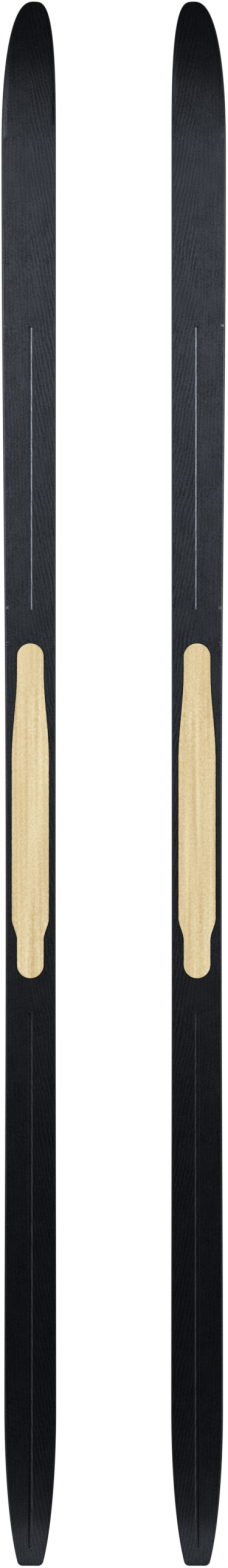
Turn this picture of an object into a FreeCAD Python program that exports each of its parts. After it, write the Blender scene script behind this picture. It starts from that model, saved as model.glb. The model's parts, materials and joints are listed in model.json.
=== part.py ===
import FreeCAD, Part
import math
import os

# A pair of Nordic touring skis standing upright, tips up, with an inset kick skin in each base and a
# bar binding on each top. Millimetres. +Z runs from the tails to the tips, the bases face -Y, and the
# origin is on the floor midway between the two skis. The left ski (-X) is modelled with its binding
# line at X = 0, moved to its place, and mirrored for the right ski. Its outer edge is on -X.

# Whole ski
ski_length = 2000.0       # tail end to tip, as it stands
ski_spacing = 213.4       # between the two binding lines
camber = 12.0             # rise of the unloaded waist above the contact line
tip_rise = 55.0           # how far the tip turns up
tip_turn = 200.0          # length of the upturned tip
tip_curl = 2.2            # how late the tip turns up, 2 being a parabola
tail_kick = 4.0           # rise of the tail end
tail_turn = 62.0          # length of the raised tail

# Half widths, from the binding line to each edge
shovel_outer = 37.0
shovel_inner = 32.8
waist_outer = 31.6
waist_inner = 32.5
tail_outer = 33.3
tail_inner = 33.2
shovel_back = 193.0       # widest point, measured back from the tip
waist_height = 820.0      # narrowest point above the tail end
tail_front = 200.0        # widest point of the tail above the tail end
sidecut_ease = 1.25       # how late the sidecut opens out from the waist
tip_offset = 4.0          # tip apex, moved towards the inner edge
tip_square_outer = 2.4    # squareness of the tip curve, 2 being an ellipse
tip_square_inner = 3.3
tail_taper = 225.0        # long radius of the tail's side curves
tail_corner = 5.0         # rounding of the tail's two corners

# Layers, from the running surface up
base_thick = 2.2
laminate_thick = 0.8
core_end_thick = 1.6      # core at the tip and tail
core_mid_thick = 12.5     # core under the foot
topsheet_thick = 0.9
sidewall_wide = 1.6
sidewall_step = 0.3       # sidewalls stand back from the running surface
topsheet_inset = 0.5      # bevel line round the topsheet
tip_spacer_long = 95.0
tail_protector_long = 30.0

# Running groove
groove_wide = 5.8
groove_deep = 1.3
front_groove_start = 1221.0
front_groove_back = 415.0  # front end of the front groove, measured back from the tip
rear_groove_start = 22.0
rear_groove_end = 708.0

# Kick skin: a narrow strip that widens under the foot
skin_start = 751.3        # rear end
skin_long = 428.0
skin_narrow = 34.0
skin_wide = 47.4
skin_rear_neck = 48.3     # rear end to the widest stretch
skin_rear_flare = 29.0    # length over which the rear widens
skin_front_neck = 150.0   # front end to the widest stretch
skin_front_flare = 117.0  # length over which the front narrows
skin_gap = 1.3            # open gap round the skin
skin_recess_deep = 1.8
skin_adhesive_thick = 0.6
skin_proud = 0.4          # plush stands above the running surface

# Binding positions
toe_pin_height = 1010.0   # boot bar above the tail end
boot_reach = 245.0        # boot bar to the middle of the heel plate
reinforcement_thick = 1.0
reinforcement_half = 24.0
reinforcement_margin = 20.0
plate_sink = 3.0          # each plate starts this far down and is cut to the curve of the ski
overlap = 0.5             # how far joined blocks reach into each other
past = 1.0                # how far cutters reach past what they cut

# Toe binding. Its own axes: z forward of the boot bar, y up from the top of the ski.
toe_plate_half = 21.0
toe_plate_back = 40.0
toe_plate_front = 64.0
toe_plate_thick = 2.0
toe_corner = 5.0
housing_base_thick = 2.5
housing_half = 17.0
housing_top = 10.5
nose_half = 11.0
nose_start = 45.0
nose_low = 6.0            # height of the nose's front end
nose_inset = 1.0
nose_wall = 2.0           # in front of the jaw's channel
seat_back = 9.0           # rear wall of the bar seat, behind the bar
seat_wall_top = 12.0
ridge_inner = 5.5         # two ridges that guide the boot sole
ridge_wide = 5.0
ridge_high = 9.0
ridge_back_inset = 2.0
ridge_ramp = 6.0          # length of each ridge's sloping rear end
bar_radius = 2.0          # boot's cross bar
bar_clear = 0.1
bar_height = 9.0
jaw_half = 6.0
jaw_clear = 0.3
jaw_high = 8.9
jaw_hook_top = 13.0
jaw_hook_long = 8.0
jaw_hook_bevel = 0.8
jaw_hook_slope = 1.5
jaw_lip = 0.6             # how far the hook's lip passes the bar's centre
jaw_front_wall = 4.2
bridge_gap = 0.3          # jaw to the bridge over it
jaw_travel = 6.0
lever_pivot_ahead = 36.0
lever_pivot_height = 12.0
lever_turn = 90.0         # degrees from closed to open
pin_radius = 1.5
pin_clear = 0.05
pin_press = 0.02
pin_proud = 0.5           # pin beyond each ear
hub_radius = 2.7
hub_clear = 0.4
eccentric_radius = 5.0
eccentric_half = 3.0
ear_thick = 4.7
ear_radius = 4.2
lever_under = 11.0        # underside of the lever
lever_thick = 3.5
lever_long = 44.0
lever_lift = 3.5          # upturned finger edge
lever_edge = 2.5
lever_edge_slope = 9.0
lever_edge_top = 2.0
lever_edge_under = 4.0
paddle_half = 13.0
paddle_start = 10.0       # where the lever widens, ahead of its pivot
paddle_corner = 3.25
paddle_bar = 6.0          # solid part behind the hole
paddle_hole_long = 14.0   # takes a pole tip
paddle_hole_wide = 10.0
spring_wire = 0.45
spring_radius = 1.9
spring_turns = 6
spring_room = 0.3
spring_pocket = 2.5       # depth of the spring's seat in the jaw
spring_wall = 57.0        # housing wall behind the spring
flexor_back = 15.5
flexor_half = 15.0
flexor_high = 12.5
flexor_slant = 3.5
flexor_brow = 2.0
flexor_round = 1.8
flexor_leg = 5.0
flexor_leg_deep = 4.0
bridge_back = 16.0
bridge_clear = 1.5        # bridge to the eccentric

# Heel unit. Its own axes: z forward of the heel plate's middle, y up from the top of the ski.
heel_plate_half = 20.0
heel_plate_back = 44.0
heel_plate_front = 38.0
heel_plate_thick = 4.0
heel_corner = 8.0
pad_half = 12.5
pad_back = 18.0
pad_front = 14.0
pad_high = 8.5
pad_corner = 3.0
pad_slots = 2             # cross grooves at each end of the pad
pad_slot_wide = 1.6
pad_slot_deep = 1.2
pad_slot_pitch = 4.0
bail_wire = 1.6
bail_clear = 0.1
bail_half = 16.5
bail_long = 46.0
bail_bend = 5.0
bail_end_bend = 2.08
bail_pivot_back = 26.0
bail_pivot_height = 6.2
bail_end_gap = 5.0        # from the binding line to each inward end of the wire
block_half = 13.5
block_back = 30.5
block_front = 21.5
block_high = 9.6
block_bevel = 2.0

# Screws
screw_radius = 2.2
screw_clear = 0.05
screw_head_radius = 4.2
screw_head_high = 2.2
screw_depth = 11.0        # into the ski
screw_point = 2.0
screw_point_radius = 0.4
screw_cross_wide = 1.1
screw_cross_long = 5.0
screw_cross_deep = 1.3
toe_screw_side = 15.5
toe_screw_rear = -30.0
toe_screw_front = 55.0
heel_screw_side = 12.0
heel_screw_front = 30.0
heel_screw_rear = -37.0

# Values that follow
shovel_z = ski_length - shovel_back
tip_z = ski_length - tip_turn
skin_end = skin_start + skin_long
heel_z = toe_pin_height - boot_reach
front_groove_end = ski_length - front_groove_back
eccentric_offset = jaw_travel / 2 / math.sin(math.radians(lever_turn / 2))
eccentric_ahead = lever_pivot_ahead - jaw_travel / 2
eccentric_height = lever_pivot_height - eccentric_offset * math.cos(math.radians(lever_turn / 2))
channel_half = jaw_half + jaw_clear
window_half = eccentric_radius + jaw_clear
jaw_front = eccentric_ahead + window_half + jaw_front_wall
eccentric_back = eccentric_ahead - eccentric_radius
bridge_front = eccentric_back - bridge_clear
flexor_front = eccentric_back - jaw_clear
flexor_middle = (flexor_back + flexor_front) / 2
jaw_low = toe_plate_thick + jaw_clear
channel_front = jaw_front + jaw_travel + 2 * jaw_clear
bridge_low = jaw_high + bridge_gap
slab_top = toe_plate_thick + housing_base_thick
ski_low = -30.0           # well below the running surface
ski_high = tip_rise + 60.0
cutter_low = -5.0
ski_half = shovel_outer + shovel_inner


def vector(x, y, z):
    return FreeCAD.Vector(x, y, z)


def blend(share):
    """A smooth rise from 0 to 1."""
    return (1 - math.cos(math.pi * share)) / 2


def between(low, high, count):
    return [low + (high - low) * k / count for k in range(count + 1)]


# The ski seen from the side

def base_rise(z):
    """Height of the running surface above the contact line."""
    if z < tail_turn:
        return tail_kick * ((tail_turn - z) / tail_turn) ** 2
    if z < tip_z:
        return camber * math.sin(math.pi * (z - tail_turn) / (tip_z - tail_turn)) ** 2
    return tip_rise * ((z - tip_z) / tip_turn) ** tip_curl


def core_thick(z):
    inside = min(max((z - tail_turn) / (tip_z - tail_turn), 0.0), 1.0)
    return core_end_thick + (core_mid_thick - core_end_thick) * math.sin(math.pi * inside) ** 2


def depth_to_height(depth, z):
    """A depth through the ski, taken square to its surface, as a height above the contact line."""
    slope = base_rise(z + 0.5) - base_rise(z - 0.5)
    return base_rise(z) + depth * math.hypot(1.0, slope)


def below_base(z):
    return cutter_low


def running_surface(z):
    return 0.0


def sidewall_foot(z):
    return sidewall_step


def base_top(z):
    return base_thick


def core_bottom(z):
    return base_thick + laminate_thick


def core_top(z):
    return core_bottom(z) + core_thick(z)


def reinforcement_bottom(z):
    return core_top(z) - reinforcement_thick


def topsheet_bottom(z):
    return core_top(z) + laminate_thick


def ski_top(z):
    return topsheet_bottom(z) + topsheet_thick


def groove_floor(z):
    return groove_deep


def skin_floor(z):
    return skin_recess_deep


def skin_bottom(z):
    return skin_recess_deep - skin_adhesive_thick


def skin_face(z):
    return -skin_proud


def stations():
    """Heights along the ski, closer together where the profile bends more."""
    tail = between(-10.0, tail_turn, 4)
    middle = between(tail_turn, tip_z, 14)[1:]
    tip = between(tip_z, ski_length + 10.0, 9)[1:]
    return tail + middle + tip


def profile_edge(depth):
    points = [vector(0, depth_to_height(depth(z), z), z) for z in stations()]
    curve = Part.BSplineCurve()
    curve.interpolate(points)
    return curve.toShape()


def layer(low, high):
    """Everything between two depths through the ski, over its whole length and more than its width."""
    lower = profile_edge(low)
    upper = profile_edge(high)
    ends = [Part.makeLine(lower.Vertexes[k].Point, upper.Vertexes[k].Point) for k in (0, 1)]
    face = Part.Face(Part.Wire(Part.__sortEdges__([lower, ends[1], upper, ends[0]])))
    face.translate(vector(-ski_half, 0, 0))
    return face.extrude(vector(2 * ski_half, 0, 0))


# The ski seen from the front

def edge_offset(z, tail, waist, shovel):
    """Half width of one side between the tail's and the shovel's widest points."""
    if z < waist_height:
        return tail + (waist - tail) * blend((z - tail_front) / (waist_height - tail_front))
    share = (z - waist_height) / (shovel_z - waist_height)
    return waist + (shovel - waist) * blend(share) ** sidecut_ease


def smooth(points, start, end):
    curve = Part.BSplineCurve()
    curve.interpolate(Points=points, InitialTangent=start, FinalTangent=end)
    return curve.toShape()


def side_edge(side, tail, waist, shovel, inset):
    heights = between(tail_front, shovel_z, 14)
    points = [vector(side * (edge_offset(z, tail, waist, shovel) - inset), 0, z) for z in heights]
    return smooth(points, vector(0, 0, 1), vector(0, 0, 1))


def tip_edge(inset):
    """The tip: a squarish half ellipse, rounder towards the outer edge."""
    points = []
    for angle in between(math.pi, 0.0, 20):
        across = math.cos(angle)
        if across < 0:
            reach = -(shovel_outer + tip_offset - inset)
            square = 2 / tip_square_outer
        else:
            reach = shovel_inner - tip_offset - inset
            square = 2 / tip_square_inner
        x = tip_offset + reach * abs(across) ** square
        z = shovel_z + (shovel_back - inset) * abs(math.sin(angle)) ** square
        points.append(vector(x, 0, z))
    return smooth(points, vector(0, 0, 1), vector(0, 0, -1))


def tail_side(side, half, inset):
    """One tapering side of the tail and its rounded corner, from the widest point down to the end."""
    start = tail_front - inset - tail_corner
    half -= inset

    def across(drop):
        return half * math.sqrt(1 - (drop / tail_taper) ** 2)

    drops = between(0.0, start, 8)
    points = [vector(side * across(drop), 0, tail_front - drop) for drop in drops]
    slope = (across(start) - across(start - 0.1)) / 0.1
    corner = vector(side * (across(start) + slope * tail_corner), 0, inset)
    foot = vector(corner.x - side * tail_corner, 0, inset)
    taper = smooth(points, vector(0, 0, -1), corner - points[-1])
    rounding = Part.BezierCurve()
    rounding.setPoles([points[-1], corner, foot])
    return taper, rounding.toShape(), foot


def plan(inset):
    """The ski's outline drawn in by an inset, as a block through every layer."""
    outer_taper, outer_corner, outer_foot = tail_side(-1, tail_outer, inset)
    inner_taper, inner_corner, inner_foot = tail_side(1, tail_inner, inset)
    edges = [
        side_edge(-1, tail_outer, waist_outer, shovel_outer, inset),
        tip_edge(inset),
        side_edge(1, tail_inner, waist_inner, shovel_inner, inset),
        inner_taper,
        inner_corner,
        Part.makeLine(inner_foot, outer_foot),
        outer_corner,
        outer_taper,
    ]
    return raised(edges)


def raised(edges):
    """A flat outline in the XZ plane as a block through every layer."""
    face = Part.Face(Part.Wire(Part.__sortEdges__(edges)))
    face.translate(vector(0, ski_low, 0))
    return face.extrude(vector(0, ski_high - ski_low, 0))


def slab(low, high):
    """Everything between two heights along the ski."""
    size = 2 * ski_half
    return Part.makeBox(size, ski_high - ski_low, high - low, vector(-ski_half, ski_low, low))


def skin_outline(grow):
    """The kick skin's outline, grown all round."""
    narrow = skin_narrow / 2 + grow
    wide = skin_wide / 2 + grow
    rear_round = skin_start - grow + narrow
    front_round = skin_end + grow - narrow
    rear_wide = skin_start + skin_rear_neck + skin_rear_flare
    front_wide = skin_end - skin_front_neck
    edges = []
    for side in (-1, 1):
        rear = between(0.0, 1.0, 8)
        widening = [vector(side * (narrow + (wide - narrow) * blend(s)), 0,
                           rear_wide - skin_rear_flare * (1 - s)) for s in rear]
        narrowing = [vector(side * (wide - (wide - narrow) * blend(s)), 0,
                            front_wide + skin_front_flare * s) for s in rear]
        up = vector(0, 0, 1)
        edges += [
            Part.makeLine(vector(side * narrow, 0, rear_round), widening[0]),
            smooth(widening, up, up),
            Part.makeLine(widening[-1], narrowing[0]),
            smooth(narrowing, up, up),
            Part.makeLine(narrowing[-1], vector(side * narrow, 0, front_round)),
        ]
    for height, way in ((rear_round, -1), (front_round, 1)):
        ends = [vector(-narrow, 0, height), vector(0, 0, height + way * narrow), vector(narrow, 0, height)]
        edges.append(Part.Arc(*ends).toShape())
    return raised(edges)


# Ski pieces

def groove(start, end):
    """A groove cutter with round ends, down to the groove's floor."""
    half = groove_wide / 2
    low = start + half
    high = end - half
    edges = [Part.makeLine(vector(side * half, 0, low), vector(side * half, 0, high)) for side in (-1, 1)]
    for height, way in ((low, -1), (high, 1)):
        ends = [vector(-half, 0, height), vector(0, 0, height + way * half), vector(half, 0, height)]
        edges.append(Part.Arc(*ends).toShape())
    return layer(below_base, groove_floor).common(raised(edges))


def base_sheet(inner_plan):
    sheet = layer(running_surface, base_top).common(inner_plan)
    recess = layer(below_base, skin_floor).common(skin_outline(skin_gap))
    rear = groove(rear_groove_start, rear_groove_end)
    front = groove(front_groove_start, front_groove_end)
    return sheet.cut([recess, rear, front])


def kick_skin():
    return layer(skin_face, skin_bottom).common(skin_outline(0.0))


def skin_adhesive():
    return layer(skin_bottom, skin_floor).common(skin_outline(0.0))


def core_zone():
    return slab(tail_protector_long, ski_length - tip_spacer_long)


def reinforcement_box():
    low = heel_z - heel_plate_back - reinforcement_margin
    high = toe_pin_height + toe_plate_front + reinforcement_margin
    return Part.makeBox(2 * reinforcement_half, ski_high, high - low, vector(-reinforcement_half, 0, low))


def reinforcement():
    return layer(reinforcement_bottom, core_top).common(reinforcement_box())


def wood_core(inner_plan):
    core = layer(core_bottom, core_top).common(inner_plan).common(core_zone())
    return core.cut(reinforcement())


def rim(full_plan, inner_plan, low, high):
    ring = layer(sidewall_foot, topsheet_bottom).common(full_plan).cut(inner_plan)
    return ring.common(slab(low, high))


def filler(inner_plan, low, high):
    """What fills the core's place at the ends of the ski."""
    return layer(core_bottom, core_top).common(inner_plan).common(slab(low, high))


def tip_spacer(full_plan, inner_plan):
    low = ski_length - tip_spacer_long
    high = ski_length + past
    return rim(full_plan, inner_plan, low, high).fuse(filler(inner_plan, low, high)).removeSplitter()


def tail_protector(full_plan, inner_plan):
    high = tail_protector_long
    return rim(full_plan, inner_plan, -past, high).fuse(filler(inner_plan, -past, high)).removeSplitter()


def sidewalls(full_plan, inner_plan):
    """The outer sidewall and the inner sidewall."""
    strips = rim(full_plan, inner_plan, tail_protector_long, ski_length - tip_spacer_long).Solids
    strips.sort(key=lambda strip: strip.CenterOfMass.x)
    return strips[0], strips[-1]


# Small shapes

def box(x_half, y_low, y_high, z_low, z_high):
    """A block centred on the binding line."""
    return Part.makeBox(2 * x_half, y_high - y_low, z_high - z_low, vector(-x_half, y_low, z_low))


def both_sides(x_low, x_high, y_low, y_high, z_low, z_high):
    size = (x_high - x_low, y_high - y_low, z_high - z_low)
    first = Part.makeBox(*size, vector(x_low, y_low, z_low))
    second = Part.makeBox(*size, vector(-x_high, y_low, z_low))
    return [first, second]


def cross_rod(radius, half, y, z):
    return Part.makeCylinder(radius, 2 * half, vector(-half, y, z), vector(1, 0, 0))


def cross_prism(half, points):
    """A side view, given as (z, y) corners, pushed out across the ski."""
    corners = [vector(-half, y, z) for z, y in points]
    wire = Part.makePolygon(corners + corners[:1])
    return Part.Face(wire).extrude(vector(2 * half, 0, 0))


def rounded_plate(half, y_low, y_high, z_low, z_high, corner):
    plate = box(half, y_low, y_high, z_low, z_high)
    upright = [e for e in plate.Edges if abs(e.tangentAt(e.FirstParameter).y) > 0.9]
    return plate.makeFillet(corner, upright)


def joined(first, others):
    return first.fuse(others).removeSplitter()


# Toe binding

def toe_plate():
    return rounded_plate(toe_plate_half, -plate_sink, toe_plate_thick, -toe_plate_back, toe_plate_front,
                         toe_corner)


def housing_ridges():
    start = -toe_plate_back + ridge_back_inset
    ridge = cross_prism(ridge_wide / 2, [
        (start, slab_top - overlap),
        (start + ridge_ramp, ridge_high),
        (-seat_back, ridge_high),
        (-seat_back, slab_top - overlap),
    ])
    shift = ridge_inner + ridge_wide / 2
    return [ridge.translated(vector(side * shift, 0, 0)) for side in (-1, 1)]


def housing_ears():
    ears = []
    for x in (channel_half, -channel_half - ear_thick):
        foot = Part.makeBox(ear_thick, lever_pivot_height - slab_top + overlap, 2 * ear_radius,
                            vector(x, slab_top - overlap, lever_pivot_ahead - ear_radius))
        eye = Part.makeCylinder(ear_radius, ear_thick, vector(x, lever_pivot_height, lever_pivot_ahead),
                                vector(1, 0, 0))
        ears += [foot, eye]
    return ears


def flexor_legs():
    inner = (channel_half + housing_half) / 2 - flexor_leg / 2
    return both_sides(inner, inner + flexor_leg, housing_top - flexor_leg_deep, housing_top + past,
                      flexor_middle - flexor_leg / 2, flexor_middle + flexor_leg / 2)


def toe_housing():
    base = rounded_plate(toe_plate_half, toe_plate_thick, slab_top, -toe_plate_back, toe_plate_front,
                         toe_corner)
    body = box(housing_half, slab_top - overlap, housing_top, -seat_back, nose_start)
    seat_wall = box(housing_half, slab_top - overlap, seat_wall_top, -seat_back, -bar_radius)
    nose = cross_prism(nose_half, [
        (nose_start - overlap, slab_top - overlap),
        (nose_start - overlap, housing_top),
        (channel_front + nose_wall, housing_top),
        (toe_plate_front - nose_inset, nose_low),
        (toe_plate_front - nose_inset, slab_top - overlap),
    ])
    housing = joined(base, [body, seat_wall, nose] + housing_ridges() + housing_ears())
    seat = bar_radius + bar_clear
    eccentric_sweep = lever_pivot_ahead + jaw_travel / 2 + eccentric_radius + jaw_clear
    cuts = [
        cross_rod(seat, toe_plate_half, bar_height, 0.0),
        box(toe_plate_half, bar_height, seat_wall_top + past, -seat, seat),
        box(channel_half, toe_plate_thick - past, bridge_low, -seat, channel_front),
        box(channel_half, bridge_low - past, seat_wall_top + past, -seat, bridge_back),
        box(channel_half, bridge_low - past, seat_wall_top + past, bridge_front, eccentric_sweep),
        cross_rod(pin_radius + pin_press, toe_plate_half, lever_pivot_height, lever_pivot_ahead),
        Part.makeCylinder(spring_radius + spring_wire + spring_room, spring_wall - channel_front + past,
                          vector(0, spring_height(), channel_front - past), vector(0, 0, 1)),
    ]
    return housing.cut(cuts + flexor_legs())


def spring_height():
    return (jaw_low + jaw_high) / 2


def toe_jaw():
    bar = box(jaw_half, jaw_low, jaw_high, bar_radius + bar_clear, jaw_front)
    hook = cross_prism(jaw_half, [
        (bar_radius + bar_clear, jaw_low),
        (bar_radius + bar_clear, bar_height),
        (-jaw_lip, bar_height),
        (-jaw_lip, jaw_hook_top - jaw_hook_bevel),
        (-jaw_lip + jaw_hook_bevel, jaw_hook_top),
        (jaw_hook_long - jaw_hook_slope, jaw_hook_top),
        (jaw_hook_long, jaw_high),
        (jaw_hook_long, jaw_low),
    ])
    jaw = joined(bar, [hook])
    seat = cross_rod(bar_radius + bar_clear, jaw_half + past, bar_height, 0.0)
    window = box(eccentric_half + jaw_clear, 0.0, jaw_high + past, eccentric_ahead - window_half,
                 eccentric_ahead + window_half)
    pocket = Part.makeCylinder(spring_radius + spring_wire + spring_room, spring_pocket + past,
                               vector(0, spring_height(), jaw_front - spring_pocket), vector(0, 0, 1))
    return jaw.cut([seat, window, pocket])


def lever_pin():
    half = channel_half + ear_thick + pin_proud
    return cross_rod(pin_radius, half, lever_pivot_height, lever_pivot_ahead)


def toe_lever():
    lever_top = lever_under + lever_thick
    start = lever_pivot_ahead
    end = start + lever_long
    hub_half = channel_half - hub_clear
    hub = cross_rod(hub_radius, hub_half, lever_pivot_height, start)
    eccentric = cross_rod(eccentric_radius, eccentric_half, eccentric_height, eccentric_ahead)
    widen = start + paddle_start
    arm = box(hub_half, lever_under, lever_top, start, widen + paddle_corner + overlap)
    paddle = cross_prism(paddle_half, [
        (widen, lever_under),
        (widen, lever_top),
        (end - lever_edge_slope, lever_top),
        (end - lever_edge_top, lever_top + lever_lift),
        (end, lever_top + lever_edge),
        (end - lever_edge_under, lever_under),
    ])
    corners = [e for e in paddle.Edges if e.BoundBox.XLength < overlap and e.BoundBox.ZMax < widen + overlap]
    paddle = paddle.makeFillet(paddle_corner, corners)
    lever = joined(hub, [eccentric, arm, paddle])
    hole_centre = widen + paddle_bar + paddle_hole_long / 2
    straight = (paddle_hole_long - paddle_hole_wide) / 2
    hole = box(paddle_hole_wide / 2, lever_under - past, lever_top + past, hole_centre - straight,
               hole_centre + straight)
    rounds = [Part.makeCylinder(paddle_hole_wide / 2, lever_thick + 2 * past,
                                vector(0, lever_under - past, hole_centre + way * straight), vector(0, 1, 0))
              for way in (-1, 1)]
    bore = cross_rod(pin_radius + pin_clear, housing_half, lever_pivot_height, start)
    return lever.cut([hole.fuse(rounds), bore])


def jaw_spring():
    start = jaw_front - spring_pocket
    height = spring_wall - start - 2 * spring_wire
    pitch = height / spring_turns
    helix = Part.makeHelix(pitch, height, spring_radius)
    section = Part.Wire([Part.Circle(vector(spring_radius, 0, 0), vector(0, 1, 0), spring_wire).toShape()])
    coil = Part.Wire(helix).makePipeShell([section], True, True)
    coil.translate(vector(0, spring_height(), start + spring_wire))
    return coil


def flexor():
    top = housing_top + flexor_high
    block = cross_prism(flexor_half, [
        (flexor_back, housing_top),
        (flexor_back + flexor_slant, top),
        (flexor_front - flexor_brow, top),
        (flexor_front, housing_top + flexor_high / 2),
        (flexor_front, housing_top),
    ])
    across = [e for e in block.Edges if e.BoundBox.XLength > flexor_half and e.BoundBox.YMin > top - overlap]
    block = block.makeFillet(flexor_round, across)
    return joined(block, flexor_legs())


# Heel unit

def heel_plate():
    plate = rounded_plate(heel_plate_half, -plate_sink, heel_plate_thick, -heel_plate_back, heel_plate_front,
                          heel_corner)
    block = cross_prism(block_half, [
        (-block_back, heel_plate_thick - overlap),
        (-block_back, block_high - block_bevel),
        (-block_back + block_bevel, block_high),
        (-block_front - block_bevel, block_high),
        (-block_front, block_high - block_bevel),
        (-block_front, heel_plate_thick - overlap),
    ])
    bore = cross_rod(bail_wire + bail_clear, heel_plate_half + past, bail_pivot_height, -bail_pivot_back)
    return joined(plate, [block]).cut(bore)


def heel_pad():
    pad = rounded_plate(pad_half, heel_plate_thick, pad_high, -pad_back, pad_front, pad_corner)
    slots = []
    for k in range(pad_slots):
        inward = pad_slot_pitch * (k + 1)
        for z in (-pad_back + inward, pad_front - inward):
            slots.append(box(pad_half + past, pad_high - pad_slot_deep, pad_high + past,
                             z - pad_slot_wide / 2, z + pad_slot_wide / 2))
    return pad.cut(slots)


def climbing_bail():
    """A wire hoop: an inward end each side, two legs and a cross bar."""
    y = bail_pivot_height
    rear = -bail_pivot_back
    front = rear + bail_long
    corners = [(-bail_end_gap, rear), (-bail_half, rear), (-bail_half, front),
               (bail_half, front), (bail_half, rear), (bail_end_gap, rear)]
    bends = [bail_end_bend, bail_bend, bail_bend, bail_end_bend]
    points = [vector(x, y, z) for x, z in corners]
    edges = []
    cursor = points[0]
    for k, bend in enumerate(bends, start=1):
        back = (points[k - 1] - points[k]).normalize()
        ahead = (points[k + 1] - points[k]).normalize()
        enter = points[k] + back * bend
        leave = points[k] + ahead * bend
        middle = points[k] + (back + ahead) * bend * (1 - math.sqrt(0.5))
        edges.append(Part.makeLine(cursor, enter))
        edges.append(Part.Arc(enter, middle, leave).toShape())
        cursor = leave
    edges.append(Part.makeLine(cursor, points[-1]))
    path = Part.Wire(edges)
    section = Part.Wire([Part.Circle(points[0], vector(1, 0, 0), bail_wire).toShape()])
    return path.makePipeShell([section], True, True)


# Screws

def screw(x, z, head_top, spare):
    """A countersunk screw, or with some spare the hole that it goes in. Down is -Y."""
    down = vector(0, -1, 0)
    head = Part.makeCone(screw_head_radius + spare, screw_radius + spare, screw_head_high,
                         vector(x, head_top, z), down)
    long = head_top + screw_depth - screw_point
    shank = Part.makeCylinder(screw_radius + spare, long, vector(x, head_top, z), down)
    tip = vector(x, head_top - long, z)
    point = Part.makeCone(screw_radius + spare, screw_point_radius, screw_point, tip, down)
    return head.fuse([shank, point]).removeSplitter()


def screw_cross(x, z, head_top):
    """The cross recess in a screw's head."""
    size = (screw_cross_long, screw_cross_wide)
    low = head_top - screw_cross_deep
    bars = [Part.makeBox(a, screw_cross_deep + past, b, vector(x - a / 2, low, z - b / 2))
            for a, b in (size, size[::-1])]
    return bars[0].fuse(bars[1])


def screw_group(places, head_top):
    screws = [screw(x, z, head_top, 0.0).cut(screw_cross(x, z, head_top)) for x, z in places]
    return Part.makeCompound(screws)


def screw_holes(places, head_top):
    return [screw(x, z, head_top, screw_clear) for x, z in places]


toe_places = [(side * toe_screw_side, z) for side in (-1, 1) for z in (toe_screw_rear, toe_screw_front)]
heel_places = [(-heel_screw_side, heel_screw_front), (heel_screw_side, heel_screw_front),
               (0.0, heel_screw_rear)]


def unit_origin(z, back, front):
    """Where a binding unit stands: on the highest point of the ski under it."""
    heights = [depth_to_height(ski_top(h), h) for h in between(z - back, z + front, 8)]
    return vector(0, max(heights), z)


def ski_pieces():
    full_plan = plan(0.0)
    inner_plan = plan(sidewall_wide)
    under_topsheet = plan(topsheet_inset)
    outer_sidewall, inner_sidewall = sidewalls(full_plan, inner_plan)
    return {
        "base_sheet": base_sheet(inner_plan),
        "kick_skin": kick_skin(),
        "skin_adhesive": skin_adhesive(),
        "lower_laminate": layer(base_top, core_bottom).common(inner_plan),
        "wood_core": wood_core(inner_plan),
        "binding_reinforcement": reinforcement(),
        "upper_laminate": layer(core_top, topsheet_bottom).common(inner_plan),
        "topsheet": layer(topsheet_bottom, ski_top).common(under_topsheet),
        "outer_sidewall": outer_sidewall,
        "inner_sidewall": inner_sidewall,
        "tip_spacer": tip_spacer(full_plan, inner_plan),
        "tail_protector": tail_protector(full_plan, inner_plan),
    }


def toe_pieces():
    pieces = {
        "toe_plate": toe_plate(),
        "toe_housing": toe_housing(),
        "toe_jaw": toe_jaw(),
        "toe_lever": toe_lever(),
        "lever_pin": lever_pin(),
        "jaw_spring": jaw_spring(),
        "flexor": flexor(),
        "toe_screws": screw_group(toe_places, slab_top),
    }
    holes = screw_holes(toe_places, slab_top)
    for name in ("toe_plate", "toe_housing"):
        pieces[name] = pieces[name].cut(holes)
    return pieces, holes


def heel_pieces():
    pieces = {
        "heel_plate": heel_plate(),
        "heel_pad": heel_pad(),
        "climbing_bail": climbing_bail(),
        "heel_screws": screw_group(heel_places, heel_plate_thick),
    }
    holes = screw_holes(heel_places, heel_plate_thick)
    pieces["heel_plate"] = pieces["heel_plate"].cut(holes)
    return pieces, holes


def left_ski():
    pieces = ski_pieces()
    solid_ski = layer(running_surface, ski_top)
    toe, toe_holes = toe_pieces()
    heel, heel_holes = heel_pieces()
    toe_origin = unit_origin(toe_pin_height, toe_plate_back, toe_plate_front)
    heel_origin = unit_origin(heel_z, heel_plate_back, heel_plate_front)
    holes = [hole.translated(toe_origin) for hole in toe_holes]
    holes += [hole.translated(heel_origin) for hole in heel_holes]
    for name in ("topsheet", "upper_laminate", "binding_reinforcement", "wood_core"):
        pieces[name] = pieces[name].cut(holes)
    for unit, origin in ((toe, toe_origin), (heel, heel_origin)):
        for name, shape in unit.items():
            pieces[name] = shape.translated(origin)
    for name in ("toe_plate", "heel_plate"):
        pieces[name] = pieces[name].cut(solid_ski)
    return pieces


os.makedirs("parts", exist_ok=True)
for name, shape in left_ski().items():
    left = shape.translated(vector(-ski_spacing / 2, 0, 0))
    right = left.mirror(vector(0, 0, 0), vector(1, 0, 0))
    for side, piece in (("left", left), ("right", right)):
        piece.exportStep(f"parts/{side}_{name}.step")
        print(side, name, len(piece.Solids), piece.isValid(), round(piece.Volume, 1))
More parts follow.
